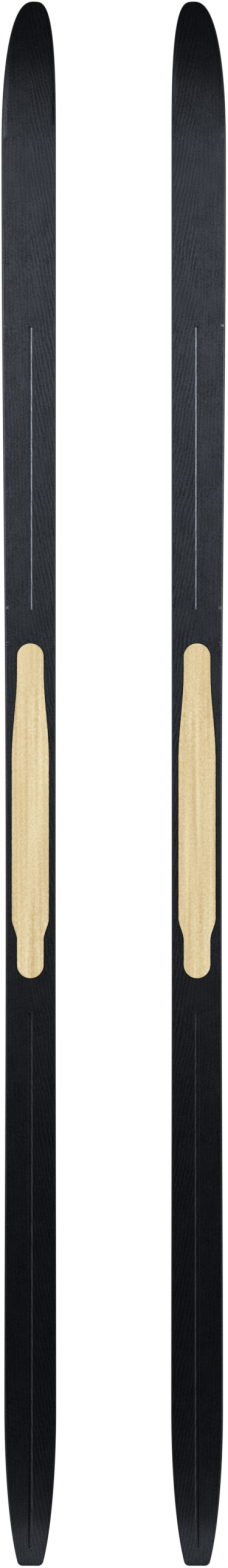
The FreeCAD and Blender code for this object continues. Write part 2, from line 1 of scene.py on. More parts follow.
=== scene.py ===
import bmesh
import bpy
import json
import math
import random
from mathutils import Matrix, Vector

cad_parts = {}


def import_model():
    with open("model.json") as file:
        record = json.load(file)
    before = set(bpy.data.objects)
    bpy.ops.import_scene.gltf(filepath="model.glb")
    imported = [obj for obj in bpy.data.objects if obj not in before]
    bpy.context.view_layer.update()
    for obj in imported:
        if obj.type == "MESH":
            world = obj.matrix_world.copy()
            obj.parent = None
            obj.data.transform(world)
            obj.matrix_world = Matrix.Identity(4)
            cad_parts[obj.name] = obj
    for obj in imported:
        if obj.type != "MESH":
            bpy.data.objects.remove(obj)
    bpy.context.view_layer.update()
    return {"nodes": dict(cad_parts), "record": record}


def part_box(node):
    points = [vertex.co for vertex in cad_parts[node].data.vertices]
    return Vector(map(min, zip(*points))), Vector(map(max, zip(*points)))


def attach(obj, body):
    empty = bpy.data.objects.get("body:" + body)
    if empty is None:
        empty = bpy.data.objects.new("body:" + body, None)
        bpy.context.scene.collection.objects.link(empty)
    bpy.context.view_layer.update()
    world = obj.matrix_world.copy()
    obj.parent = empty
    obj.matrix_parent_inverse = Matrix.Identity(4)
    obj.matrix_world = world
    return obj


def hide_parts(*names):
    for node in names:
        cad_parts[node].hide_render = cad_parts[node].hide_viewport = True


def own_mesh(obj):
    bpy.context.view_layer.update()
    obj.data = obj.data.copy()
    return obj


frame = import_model()

# The ski's own sizes, in millimetres, as the construction has them. Each ski is drawn about its binding
# line with its outer edge on -X; the right ski is the mirror image of the left.
SKI_LENGTH = 2000.0
CAMBER = 12.0
TIP_RISE = 55.0
TIP_TURN = 200.0
TIP_CURL = 2.2
TAIL_KICK = 4.0
TAIL_TURN = 62.0
SHOVEL = {-1: 37.0, 1: 32.8}
WAIST = {-1: 31.6, 1: 32.5}
TAIL = {-1: 33.3, 1: 33.2}
TIP_SQUARE = {-1: 2.4, 1: 3.3}
SHOVEL_BACK = 193.0
WAIST_HEIGHT = 820.0
TAIL_FRONT = 200.0
SIDECUT_EASE = 1.25
TIP_OFFSET = 4.0
TAIL_TAPER = 225.0
TAIL_CORNER = 5.0
BASE_THICK = 2.2
LAMINATE_THICK = 0.8
CORE_END_THICK = 1.6
CORE_MID_THICK = 12.5
TOPSHEET_THICK = 0.9
TOPSHEET_INSET = 0.5
TOPSHEET_BEVEL = 0.7
SIDEWALL_WIDE = 1.6
SIDEWALL_STEP = 0.3
SIDEWALL_BEVEL = 0.35
TIP_SPACER_LONG = 95.0
TAIL_PROTECTOR_LONG = 30.0
GROOVE_WIDE = 5.8
GROOVE_DEEP = 1.3
GROOVES = ((22.0, 708.0), (1221.0, 1585.0))
SKIN_START = 751.3
SKIN_LONG = 428.0
SKIN_NARROW = 34.0
SKIN_WIDE = 47.4
SKIN_REAR_NECK = 48.3
SKIN_REAR_FLARE = 29.0
SKIN_FRONT_NECK = 150.0
SKIN_FRONT_FLARE = 117.0
SKIN_GAP = 1.3
SKIN_RECESS_DEEP = 1.8
SKIN_ADHESIVE_THICK = 0.6
SKIN_PROUD = 0.4
SPRING_WIRE = 0.45
SPRING_TURNS = 6

# Finer shapes that only the visible pieces have, in millimetres
BASE_BEVEL = 0.4           # how far in the running surface's edge is rounded off
BASE_BEVEL_DEEP = 0.25
FEATURE_LEAST = 0.03       # half width that a groove's columns keep where there is no groove
WALL_LEAN = 0.25           # how far a groove's or the recess's wall leans in
FILM_EDGE = (0.25, 0.45)   # heights of the top film's edge, below its bevel
APEX_WIDE = 0.04           # least width of the top film's last row
ROW_GAP = 0.004            # rows closer than this are one row

# The plush: rows of slanted strokes that turn over from row to row
WEAVE_ROW = 4.65           # height of one row
WEAVE_STROKE = 2.3         # from one stroke to the next
WEAVE_RELIEF = 0.06
PLUSH_EDGE = 0.8           # how far in the pile rolls over at the edge
PLUSH_ROLL = 0.9           # how far down it rolls
PLUSH_LEAST = 0.15         # least half width, at the two ends
FRAY = 0.25                # most that the cut edge wanders
FRAY_KEPT = 0.7            # share of its wander that a row takes from the row before

# Patterns of the finishes, in metres
CLOTH_PITCH = 0.0016       # of the glass cloth under the top film
GRIND_PITCH = 0.0048       # between the grinding marks on the base
GRIND_WANDER = 0.012       # how far those marks stray
STRIPE_ASIDE = 0.0245      # pinstripes, from the middle of the ski
STRIPE_HALF = 0.0006
BAND_ENDS = (0.205, 1.745)  # the plain bands run from here to the tail and to the tip
RING_HEIGHTS = (0.221, 0.231, 1.729, 1.719)
RING_HALF = 0.002

# How finely each shape is divided
TAIL_ROWS = 8
BODY_ROWS = 380
TIP_ROWS = 80
ROUND_ROWS = 12
FLARE_ROWS = 24
SKIN_ROWS = 680
SKIN_COLUMNS = 78
SKIN_END_LONG = 8.0        # stretch at each end of the skin where its rows crowd together
WALL_ROWS = 340
WALL_TIP_ROWS = 26
TIP_RIM_STEPS = 110
TAIL_RIM_STEPS = 26
COIL_STEPS = 36            # in each turn of the spring
WIRE_POINTS = 12
WELD = 1e-7                # points closer than this, in metres, are one point

SHOVEL_Z = SKI_LENGTH - SHOVEL_BACK
TIP_Z = SKI_LENGTH - TIP_TURN
SKIN_END = SKIN_START + SKIN_LONG
MM = 0.001

# Camera and light, in metres
VIEW_HEIGHT = 2.0047
VIEW_MIDDLE = 0.9996
VIEW_SIDE = 0.0004
VIEW_AWAY = 3.0
WORLD_LIGHT = 0.95
LAMP_AIM = (0.0, 0.0, 1.0)
FLOOR_HALF = 30.0

# Screens and cards that only reflections see
SCREEN_AWAY = 0.5          # in front of the bases
SCREEN_LOW = 0.032         # below it the tails mirror the floor
SCREEN_TURN = 1.9          # where the screen starts to curve over the tips
SCREEN_TOP = SCREEN_TURN + SCREEN_AWAY
SCREEN_HALF = 0.6
SCREEN_BACK = 0.4          # how far it reaches behind the skis
# How clear the graduated screen is at each height: dark low down, clear above the waist, dark overhead.
SCREEN_CLEAR = ((0.0, 0.01), (0.45, 0.02), (0.6, 0.05), (0.72, 0.16), (1.2, 0.5), (1.4, 0.8),
                (1.55, 1.0), (1.82, 1.0), (1.93, 0.66), (2.0, 0.4), (2.09, 0.34), (2.16, 0.2),
                (2.2, 0.04), (2.4, 0.02))
CARD_LIGHT = 11.0          # brightness of the two cards that the front grooves' walls mirror
CARD_HEIGHTS = (1.12, 1.72)
CARD_START = (0.5, -0.95)  # on the floor plan, beyond each ski's outer edge
CARD_END = (1.05, -0.45)
MIDDLE_CARD_END = (0.0, -0.012)
MIDDLE_CARD_HEIGHTS = (0.0, 1.95)


# The ski's shape

def blend(share):
    """A smooth step from 0 to 1."""
    return (1 - math.cos(math.pi * share)) / 2


def between(low, high, count):
    """Evenly spaced values, both ends included."""
    return [low + (high - low) * k / count for k in range(count + 1)]


def base_rise(z):
    """How far the running surface stands off the plane that the ski would rest on."""
    if z < TAIL_TURN:
        return TAIL_KICK * ((TAIL_TURN - z) / TAIL_TURN) ** 2
    if z < TIP_Z:
        return CAMBER * math.sin(math.pi * (z - TAIL_TURN) / (TIP_Z - TAIL_TURN)) ** 2
    return TIP_RISE * ((z - TIP_Z) / TIP_TURN) ** TIP_CURL


def core_thick(z):
    inside = min(max((z - TAIL_TURN) / (TIP_Z - TAIL_TURN), 0.0), 1.0)
    return CORE_END_THICK + (CORE_MID_THICK - CORE_END_THICK) * math.sin(math.pi * inside) ** 2


def topsheet_bottom(z):
    return BASE_THICK + 2 * LAMINATE_THICK + core_thick(z)


class Row:
    """One height on the ski, which turns depths through it into places."""

    def __init__(self, z):
        self.z = z
        self.rise = base_rise(z)
        self.stretch = math.hypot(1.0, base_rise(z + 0.5) - base_rise(z - 0.5))

    def at(self, x, depth):
        return (x, self.rise + depth * self.stretch, self.z)


def half_width(side, z, inset):
    """From the binding line to one edge, drawn in by an inset."""
    if z > SHOVEL_Z:
        share = min((z - SHOVEL_Z) / (SHOVEL_BACK - inset), 1.0)
        square = TIP_SQUARE[side]
        reach = SHOVEL[side] - side * TIP_OFFSET - inset
        return side * TIP_OFFSET + reach * (1 - share ** square) ** (1 / square)
    if z > WAIST_HEIGHT:
        share = (z - WAIST_HEIGHT) / (SHOVEL_Z - WAIST_HEIGHT)
        return WAIST[side] + (SHOVEL[side] - WAIST[side]) * blend(share) ** SIDECUT_EASE - inset
    if z > TAIL_FRONT:
        share = (z - TAIL_FRONT) / (WAIST_HEIGHT - TAIL_FRONT)
        return TAIL[side] + (WAIST[side] - TAIL[side]) * blend(share) - inset
    across = (TAIL[side] - inset) * math.sqrt(1 - ((TAIL_FRONT - z) / TAIL_TAPER) ** 2)
    left = TAIL_CORNER - (z - inset)
    if left > 0:
        across -= TAIL_CORNER - math.sqrt(max(TAIL_CORNER ** 2 - left ** 2, 0.0))
    return across


def skin_half(z, grow):
    """Half width of the kick skin, grown all round, or 0 past its ends."""
    narrow = SKIN_NARROW / 2 + grow
    wide = SKIN_WIDE / 2 + grow
    rear_end = SKIN_START - grow
    front_end = SKIN_END + grow
    if not rear_end < z < front_end:
        return 0.0
    end = min(z - rear_end, front_end - z)
    if end < narrow:
        return math.sqrt(narrow ** 2 - (narrow - end) ** 2)
    rear = (z - SKIN_START - SKIN_REAR_NECK) / SKIN_REAR_FLARE
    front = (SKIN_END - SKIN_FRONT_NECK + SKIN_FRONT_FLARE - z) / SKIN_FRONT_FLARE
    share = min(max(min(rear, front), 0.0), 1.0)
    return narrow + (wide - narrow) * blend(share)


def toward_end(low, high, count):
    """Heights that crowd together towards the second one."""
    return [high - (high - low) * (1 - k / count) ** 3 for k in range(count + 1)]


def round_end(end, inward, reach):
    """Heights that crowd together at a round end, from the end inwards."""
    return [end + inward * reach * (1 - math.cos(angle)) for angle in between(0.0, math.pi / 2, ROUND_ROWS)]


# Meshes

def piece(name, points, faces, material, sharp=32.0):
    """A closed mesh in the frame, given in millimetres, that is fixed to the skis."""
    mesh = bpy.data.meshes.new(name)
    mesh.from_pydata([(x * MM, y * MM, z * MM) for x, y, z in points], [], faces)
    shape = bmesh.new()
    shape.from_mesh(mesh)
    bmesh.ops.remove_doubles(shape, verts=shape.verts, dist=WELD)
    bmesh.ops.recalc_face_normals(shape, faces=shape.faces)
    shape.to_mesh(mesh)
    shape.free()
    mesh.shade_smooth()
    mesh.set_sharp_from_angle(angle=math.radians(sharp))
    mesh.materials.append(material)
    made = bpy.data.objects.new(name, mesh)
    bpy.context.scene.collection.objects.link(made)
    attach(made, "skis")
    return made


def plate(front, back):
    """Points and faces of a closed plate between two grids of the same size."""
    rows = len(front)
    columns = len(front[0])
    size = rows * columns
    points = [p for row in front for p in row] + [p for row in back for p in row]
    faces = []
    for i in range(rows - 1):
        for j in range(columns - 1):
            a = i * columns + j
            quad = (a, a + 1, a + columns + 1, a + columns)
            faces.append(quad)
            faces.append(tuple(size + k for k in reversed(quad)))
    rim = list(range(columns))
    rim += [i * columns + columns - 1 for i in range(1, rows)]
    rim += [(rows - 1) * columns + j for j in range(columns - 2, -1, -1)]
    rim += [i * columns for i in range(rows - 2, 0, -1)]
    for a, b in zip(rim, rim[1:] + rim[:1]):
        faces.append((a, size + a, size + b, b))
    return points, faces


def swept(sections):
    """Points and faces of a closed bar through sections with the same number of points."""
    count = len(sections[0])
    points = [p for section in sections for p in section]
    faces = []
    for i in range(len(sections) - 1):
        for j in range(count):
            a = i * count + j
            b = i * count + (j + 1) % count
            faces.append((a, b, b + count, a + count))
    faces.append(tuple(range(count)))
    faces.append(tuple(len(points) - count + j for j in range(count)))
    return points, faces


def placed(points, hand):
    """Points of the left ski, moved to their own ski. hand is -1 for the left, 1 for the right."""
    return [(hand * (SPACING_HALF - x), y, z) for x, y, z in points]


def body_heights(inset):
    """Heights of a sheet's rows from the tail end to the tip."""
    tail = [inset + TAIL_CORNER * (1 - math.cos(angle)) for angle in between(0.0, math.pi / 2, TAIL_ROWS)]
    straight = between(inset + TAIL_CORNER, SHOVEL_Z, BODY_ROWS)
    tip = toward_end(SHOVEL_Z, SKI_LENGTH - inset, TIP_ROWS)
    return tail + straight[1:] + tip[1:]


# Base sheet

def groove_depth(share):
    """Depth of the round-bottomed groove, share being 0 on its centre line and 1 at its lip."""
    half = GROOVE_WIDE / 2
    radius = (half ** 2 + GROOVE_DEEP ** 2) / (2 * GROOVE_DEEP)
    return math.sqrt(radius ** 2 - (half * share) ** 2) - (radius - GROOVE_DEEP)


def base_feature(z):
    """Half width of what is cut in the base at this height, and its depth as a function of x."""
    half = GROOVE_WIDE / 2
    for start, end in GROOVES:
        if start < z < end:
            past = max(start + half - z, z - end + half, 0.0)
            wide = math.sqrt(max(half ** 2 - past ** 2, 0.0))
            return wide, lambda x: groove_depth(min(math.hypot(x, past) / half, 1.0))
    wide = skin_half(z, SKIN_GAP)
    return wide, lambda x: SKIN_RECESS_DEEP if wide else 0.0


def base_heights():
    """Heights of the base's rows, which crowd together round the grooves' and the recess's ends."""
    heights = body_heights(SIDEWALL_WIDE)
    half = GROOVE_WIDE / 2
    for start, end in GROOVES:
        heights += round_end(start, 1, half) + round_end(end, -1, half)
    narrow = SKIN_NARROW / 2 + SKIN_GAP
    heights += round_end(SKIN_START - SKIN_GAP, 1, narrow) + round_end(SKIN_END + SKIN_GAP, -1, narrow)
    flare = SKIN_START + SKIN_REAR_NECK
    heights += between(flare, flare + SKIN_REAR_FLARE, FLARE_ROWS)
    heights.sort()
    kept = heights[:1]
    for z in heights[1:]:
        if z - kept[-1] > ROW_GAP:
            kept.append(z)
    return kept


def base_row(z):
    """One row of the running surface, and the flat row behind it."""
    row = Row(z)
    left = -half_width(-1, z, SIDEWALL_WIDE)
    right = half_width(1, z, SIDEWALL_WIDE)
    wide, depth = base_feature(z)
    # At the apex there is no room for the groove's columns, so they draw in and move off the line
    wide = min(max(wide, FEATURE_LEAST), (right - left) / 2.2)
    centre = min(max(0.0, left + wide), right - wide)
    wall = min(WALL_LEAN / wide, 0.4)
    inner = [-1.0, -1.0 + wall] + [k / 6 * (1 - wall) for k in range(-5, 6)] + [1.0 - wall, 1.0]
    front = []
    span = centre - wide - left
    for share in (0.0, BASE_BEVEL / max(span, 2.0 * BASE_BEVEL), 0.2, 0.4, 0.6, 0.8):
        front.append(row.at(left + span * share, BASE_BEVEL_DEEP if share == 0.0 else 0.0))
    for u in inner:
        front.append(row.at(centre + u * wide, 0.0 if abs(u) == 1.0 else depth(u * wide)))
    span = right - wide - centre
    for share in (0.2, 0.4, 0.6, 0.8, 1.0 - BASE_BEVEL / max(span, 2.0 * BASE_BEVEL), 1.0):
        front.append(row.at(centre + wide + span * share, BASE_BEVEL_DEEP if share == 1.0 else 0.0))
    back = [row.at(p[0], BASE_THICK) for p in front]
    return front, back


# Skin

def weave_height(x, z):
    """Relief of the slanted strokes, turning over from row to row."""
    row = z / WEAVE_ROW
    way = 1 if int(row) % 2 else -1
    in_row = row - int(row)
    stroke = math.sin(2 * math.pi * (x + way * z) / WEAVE_STROKE)
    return WEAVE_RELIEF * (0.5 + 0.5 * stroke) * math.sin(math.pi * in_row) ** 0.5


def skin_grid(rng):
    """Heights of the plush's rows, and the grids of its pile and of its back."""
    heights = round_end(SKIN_START, 1, SKIN_END_LONG)[:-1]
    heights += between(SKIN_START + SKIN_END_LONG, SKIN_END - SKIN_END_LONG, SKIN_ROWS)
    heights += round_end(SKIN_END, -1, SKIN_END_LONG)[-2::-1]
    front = []
    back = []
    fray = 0.0
    for z in heights:
        row = Row(z)
        fray = FRAY_KEPT * fray + (1 - FRAY_KEPT) * rng.uniform(-FRAY, FRAY)
        wide = max(skin_half(z, 0.0) + fray, PLUSH_LEAST)
        end = min(z - SKIN_START, SKIN_END - z)
        line = []
        for j in range(SKIN_COLUMNS + 1):
            x = wide * math.sin(math.pi / 2 * (2 * j / SKIN_COLUMNS - 1))
            near = min(wide - abs(x), end) / PLUSH_EDGE
            roll = 1 - math.sqrt(1 - (1 - min(near, 1.0)) ** 2)
            depth = -SKIN_PROUD + (1 - roll) * (WEAVE_RELIEF - weave_height(x, z)) + PLUSH_ROLL * roll
            line.append(row.at(x, depth))
        front.append(line)
        back.append([row.at(p[0], SKIN_RECESS_DEEP - SKIN_ADHESIVE_THICK) for p in line])
    return heights, front, back


# Sidewalls and ends

def side_sections(side, heights):
    """Sections along one sidewall, with its lower outer corner bevelled."""
    sections = []
    for z in heights:
        row = Row(z)
        outside = side * half_width(side, z, 0.0)
        inside = side * half_width(side, z, SIDEWALL_WIDE)
        foot = SIDEWALL_STEP
        top = topsheet_bottom(z)
        middle = (foot + top) / 2
        sections.append([
            row.at(inside, foot),
            row.at(outside - side * SIDEWALL_BEVEL, foot),
            row.at(outside, foot + SIDEWALL_BEVEL),
            row.at(outside, middle),
            row.at(outside, top),
            row.at(inside, top),
        ])
    return sections


def rim_sections(path):
    """Sections of a rim that turns a corner. path gives each place's outer and inner points."""
    sections = []
    for (outer_x, outer_z), (inner_x, inner_z) in path:
        share = SIDEWALL_BEVEL / SIDEWALL_WIDE
        bevel_x = outer_x + (inner_x - outer_x) * share
        bevel_z = outer_z + (inner_z - outer_z) * share
        outer = Row(outer_z)
        bevel = Row(bevel_z)
        inner = Row(inner_z)
        sections.append([
            inner.at(inner_x, SIDEWALL_STEP),
            bevel.at(bevel_x, SIDEWALL_STEP),
            outer.at(outer_x, SIDEWALL_STEP + SIDEWALL_BEVEL),
            outer.at(outer_x, topsheet_bottom(outer_z)),
            inner.at(inner_x, topsheet_bottom(inner_z)),
        ])
    return sections


def tip_point(angle, inset):
    """A place on the tip's curve, the angle running from the inner edge to the outer."""
    across = math.cos(angle)
    side = -1 if across < 0 else 1
    square = 2 / TIP_SQUARE[side]
    reach = SHOVEL[side] - side * TIP_OFFSET - inset
    x = TIP_OFFSET + side * reach * abs(across) ** square
    z = SHOVEL_Z + (SHOVEL_BACK - inset) * abs(math.sin(angle)) ** square
    return x, z


def start_angle(side, z, inset):
    """The tip curve's angle at a height."""
    share = (z - SHOVEL_Z) / (SHOVEL_BACK - inset)
    return math.asin(share ** (TIP_SQUARE[side] / 2))


def tip_path():
    """Round the tip from the outer edge to the inner edge."""
    low = SKI_LENGTH - TIP_SPACER_LONG
    path = []
    for share in between(0.0, 1.0, TIP_RIM_STEPS):
        ends = []
        for inset in (0.0, SIDEWALL_WIDE):
            first = math.pi - start_angle(-1, low, inset)
            last = start_angle(1, low, inset)
            ends.append(tip_point(first + (last - first) * share, inset))
        path.append(tuple(ends))
    return path


def tail_path():
    """Round the tail from the outer edge to the inner edge."""
    path = []
    for side in (-1, 1):
        half = []
        for share in between(0.0, 1.0, TAIL_RIM_STEPS):
            pair = []
            for inset in (0.0, SIDEWALL_WIDE):
                z = inset + (TAIL_PROTECTOR_LONG - inset) * (1 - math.sin(math.pi / 2 * share))
                pair.append((side * half_width(side, z, inset), z))
            half.append(tuple(pair))
        path.append(half)
    return path[0] + path[1][::-1]


def topsheet_row(z):
    """One row of the top film, bevelled along both edges, and the flat row under it."""
    row = Row(z)
    bottom = topsheet_bottom(z)
    left = -half_width(-1, z, TOPSHEET_INSET)
    right = max(half_width(1, z, TOPSHEET_INSET), left + APEX_WIDE)
    share = min(TOPSHEET_BEVEL / max(right - left, 0.5), 0.4)
    columns = [0.0, 0.0, share] + between(share, 1 - share, 8)[1:-1] + [1 - share, 1.0, 1.0]
    last = len(columns) - 1
    front = []
    for k, u in enumerate(columns):
        lift = TOPSHEET_THICK
        if k in (0, last):
            lift = FILM_EDGE[0]
        if k in (1, last - 1):
            lift = FILM_EDGE[1]
        front.append(row.at(left + (right - left) * u, bottom + lift))
    back = [row.at(p[0], bottom) for p in front]
    return front, back


# Jaw spring

def spring_sections(low, high):
    """Rings along the jaw spring's wire, in the box of the CAD spring."""
    radius = (high.x - low.x) / 2 / MM - SPRING_WIRE
    middle_x, middle_y = (low.x + high.x) / 2 / MM, (low.y + high.y) / 2 / MM
    start, end = low.z / MM + SPRING_WIRE, high.z / MM - SPRING_WIRE
    climb = math.atan2((end - start) / SPRING_TURNS, 2 * math.pi * radius)
    sections = []
    for share in between(0.0, 1.0, COIL_STEPS * SPRING_TURNS):
        turn = 2 * math.pi * SPRING_TURNS * share
        ring = []
        for k in range(WIRE_POINTS):
            angle = 2 * math.pi * k / WIRE_POINTS
            out = radius + SPRING_WIRE * math.cos(angle)
            along = -SPRING_WIRE * math.sin(angle) * math.sin(climb)
            up = SPRING_WIRE * math.sin(angle) * math.cos(climb)
            ring.append((middle_x + out * math.cos(turn) - along * math.sin(turn),
                         middle_y + out * math.sin(turn) + along * math.cos(turn),
                         start + (end - start) * share + up))
        sections.append(ring)
    return sections


# Finishes

class Finish:
    """A material and short ways to add nodes to it. Places are the frame's own metres."""

    def __init__(self, name):
        self.material = bpy.data.materials.new(name)
        self.material.use_nodes = True
        self.nodes = self.material.node_tree.nodes
        self.links = self.material.node_tree.links
        self.nodes.clear()
        self.out = self.nodes.new("ShaderNodeOutputMaterial")
        self.shader = self.nodes.new("ShaderNodeBsdfPrincipled")
        self.links.new(self.shader.outputs[0], self.out.inputs["Surface"])
        self.place = self.nodes.new("ShaderNodeTexCoord").outputs["Object"]
        self.edge_normal = None

    def constant(self, **values):
        for name, value in values.items():
            self.shader.inputs[name.replace("_", " ")].default_value = value

    def feed(self, socket, value):
        if hasattr(value, "is_output"):
            self.links.new(value, socket)
        else:
            socket.default_value = value

    def mapped(self, scale, turn=(0, 0, 0)):
        node = self.nodes.new("ShaderNodeMapping")
        self.feed(node.inputs["Vector"], self.place)
        node.inputs["Scale"].default_value = scale
        node.inputs["Rotation"].default_value = [math.radians(a) for a in turn]
        return node.outputs["Vector"]

    def noise(self, vector, scale, detail=3.0, rough=0.55):
        node = self.nodes.new("ShaderNodeTexNoise")
        self.feed(node.inputs["Vector"], vector)
        node.inputs["Scale"].default_value = scale
        node.inputs["Detail"].default_value = detail
        node.inputs["Roughness"].default_value = rough
        return node.outputs["Fac"]

    def cells(self, vector, scale):
        node = self.nodes.new("ShaderNodeTexVoronoi")
        self.feed(node.inputs["Vector"], vector)
        node.inputs["Scale"].default_value = scale
        return node.outputs["Distance"]

    def math(self, kind, a, b=0.0, c=0.0):
        node = self.nodes.new("ShaderNodeMath")
        node.operation = kind
        for socket, value in zip(node.inputs, (a, b, c)):
            self.feed(socket, value)
        return node.outputs[0]

    def axes(self):
        node = self.nodes.new("ShaderNodeSeparateXYZ")
        self.feed(node.inputs[0], self.place)
        return node.outputs

    def ramp(self, value, stops):
        """A colour or grey ramp through (place, colour) stops."""
        node = self.nodes.new("ShaderNodeValToRGB")
        self.feed(node.inputs[0], value)
        ramp = node.color_ramp
        while len(ramp.elements) < len(stops):
            ramp.elements.new(0.5)
        for element, (place, colour) in zip(ramp.elements, stops):
            element.position = place
            element.color = colour if isinstance(colour, tuple) else (colour, colour, colour, 1)
        return node.outputs[0]

    def mix(self, share, a, b):
        node = self.nodes.new("ShaderNodeMix")
        node.data_type = "RGBA"
        self.feed(node.inputs[0], share)
        self.feed(node.inputs[6], a)
        self.feed(node.inputs[7], b)
        return node.outputs[2]

    def colour(self, value):
        self.feed(self.shader.inputs["Base Color"], value)

    def roughness(self, value):
        self.feed(self.shader.inputs["Roughness"], value)

    def soft_edges(self, radius):
        """Slightly rounded edges, and how near each place is to one."""
        node = self.nodes.new("ShaderNodeBevel")
        node.samples = 6
        node.inputs["Radius"].default_value = radius
        self.edge_normal = node.outputs[0]
        flat = self.nodes.new("ShaderNodeNewGeometry").outputs["Normal"]
        across = self.nodes.new("ShaderNodeVectorMath")
        across.operation = "DOT_PRODUCT"
        self.links.new(self.edge_normal, across.inputs[0])
        self.links.new(flat, across.inputs[1])
        turned = self.math("SUBTRACT", 1.0, across.outputs["Value"])
        return self.ramp(turned, [(0.02, 0.0), (0.18, 1.0)])

    def bump(self, height, distance, strength=1.0):
        node = self.nodes.new("ShaderNodeBump")
        if self.edge_normal:
            self.links.new(self.edge_normal, node.inputs["Normal"])
        node.inputs["Distance"].default_value = distance
        node.inputs["Strength"].default_value = strength
        self.feed(node.inputs["Height"], height)
        self.links.new(node.outputs[0], self.shader.inputs["Normal"])


def rgb(red, green, blue):
    """A colour given in the usual 0 to 255 display values."""
    def linear(value):
        value /= 255
        return value / 12.92 if value <= 0.04045 else ((value + 0.055) / 1.055) ** 2.4
    return (linear(red), linear(green), linear(blue), 1.0)


def base_finish(name, hand):
    """Black sintered plastic, stone ground in fine slanting lines. The grinding shows in its gloss."""
    f = Finish(name)
    middle = hand * SPACING_HALF * MM
    x, _, z = f.axes()
    cloud = f.noise(f.mapped((1, 1, 0.6)), 55.0, 4.0, 0.6)
    specks = f.noise(f.mapped((1, 1, 0.8)), 760.0, 2.0, 0.7)
    lines = f.noise(f.mapped((1500, 1500, 26), (0, -12 * hand, 0)), 1.0, 2.0)
    # The grinding stone's marks slant across the inner half, and stand nearly upright on the outer half
    inward = f.math("MULTIPLY", f.math("SUBTRACT", x, middle), -hand)
    wander = f.math("MULTIPLY", f.noise(f.mapped((1, 1, 0.5)), 26.0, 2.0), GRIND_WANDER)
    across = f.math("ADD", inward, wander)
    shown = f.noise(f.mapped((1, 1, 0.5)), 34.0, 2.0)
    level = f.math("MULTIPLY", specks, 0.62)
    level = f.math("ADD", level, f.math("MULTIPLY", lines, 0.2))
    level = f.math("ADD", level, f.math("MULTIPLY", cloud, 0.18))
    for way, slant, depth in ((1, 0.19, 0.1), (-1, 0.03, 0.04)):
        ridge = f.math("ADD", across, f.math("MULTIPLY", z, slant))
        marks = f.math("SINE", f.math("MULTIPLY", ridge, 2 * math.pi / GRIND_PITCH))
        inside = f.math("MAXIMUM", f.math("MULTIPLY", inward, way / 0.006), 0.0)
        inside = f.math("MINIMUM", inside, depth)
        level = f.math("ADD", level, f.math("MULTIPLY", f.math("MULTIPLY", marks, shown), inside))
    f.colour(f.ramp(level, [(0.36, rgb(7, 7, 8)), (0.64, rgb(14, 14, 16))]))
    f.roughness(f.ramp(level, [(0.36, 0.25), (0.64, 0.32)]))
    # The tint's own value is the mean of what varies it
    f.constant(Specular_Tint=(0.48, 0.55, 0.66, 1.0), IOR=1.6, Specular_IOR_Level=0.7)
    gloss = f.ramp(level, [(0.37, (0.24, 0.28, 0.34, 1)), (0.63, (0.72, 0.82, 0.98, 1))])
    f.feed(f.shader.inputs["Specular Tint"], gloss)
    f.bump(level, 0.00008, 0.4)
    return f.material


def plush_finish(name):
    """Mohair and nylon pile, woven in a herringbone of slanted strokes."""
    f = Finish(name)
    x, _, z = f.axes()
    row = f.math("DIVIDE", z, WEAVE_ROW * MM)
    parity = f.math("MODULO", f.math("FLOOR", row), 2.0)
    way = f.math("SUBTRACT", f.math("MULTIPLY", parity, 2.0), 1.0)
    slant = f.math("ADD", x, f.math("MULTIPLY", way, z))
    stroke = f.math("SINE", f.math("MULTIPLY", slant, 2 * math.pi / (WEAVE_STROKE * MM)))
    broken = f.noise(f.mapped((1, 1, 1)), 420.0, 2.0)
    streak = f.noise(f.mapped((150, 150, 4)), 1.0, 3.0)
    cloud = f.noise(f.mapped((1, 1, 0.5)), 30.0, 3.0)
    fibres = f.noise(f.mapped((2600, 2600, 700)), 1.0, 2.0)
    strength = f.math("MULTIPLY", f.noise(f.mapped((1, 1, 0.4)), 45.0, 1.0), 0.12)
    seen = f.math("MULTIPLY", stroke, strength)
    level = f.math("ADD", seen, f.math("MULTIPLY", broken, 0.35))
    level = f.math("ADD", level, f.math("MULTIPLY", fibres, 0.2))
    level = f.math("ADD", level, f.math("MULTIPLY", streak, 0.45))
    tone = f.ramp(level, [(0.34, rgb(200, 172, 120)), (0.5, rgb(226, 207, 160)),
                          (0.66, rgb(244, 233, 203))])
    f.colour(f.mix(f.ramp(cloud, [(0.42, 0.0), (0.8, 0.5)]), tone, rgb(219, 194, 142)))
    f.roughness(f.ramp(fibres, [(0.2, 0.8), (0.8, 0.95)]))
    f.constant(Sheen_Weight=0.12, Sheen_Roughness=0.45, Specular_IOR_Level=0.25)
    f.bump(f.math("ADD", fibres, f.math("MULTIPLY", stroke, 0.3)), 0.0002, 0.6)
    return f.material


def moulded_finish(name, dark, light, shine, grain=1800.0, depth=0.00005):
    """Moulded plastic or rubber with a fine grain, paler patches and scuffed edges."""
    f = Finish(name)
    cloud = f.noise(f.mapped((1, 1, 1)), 70.0, 4.0)
    pits = f.cells(f.mapped((1, 1, 1)), grain)
    scuffed = f.math("MULTIPLY", f.soft_edges(0.0004), f.noise(f.mapped((1, 1, 1)), 260.0, 2.0))
    worn = f.math("ADD", f.math("MULTIPLY", cloud, 0.8), f.math("MULTIPLY", pits, 0.3))
    plain = f.ramp(worn, [(0.3, dark), (0.75, light)])
    f.colour(f.mix(f.ramp(scuffed, [(0.35, 0.0), (0.7, 0.5)]), plain, (0.18, 0.18, 0.19, 1)))
    f.roughness(f.ramp(cloud, [(0.3, shine), (0.7, min(shine + 0.16, 1.0))]))
    f.bump(pits, depth, 0.6)
    return f.material


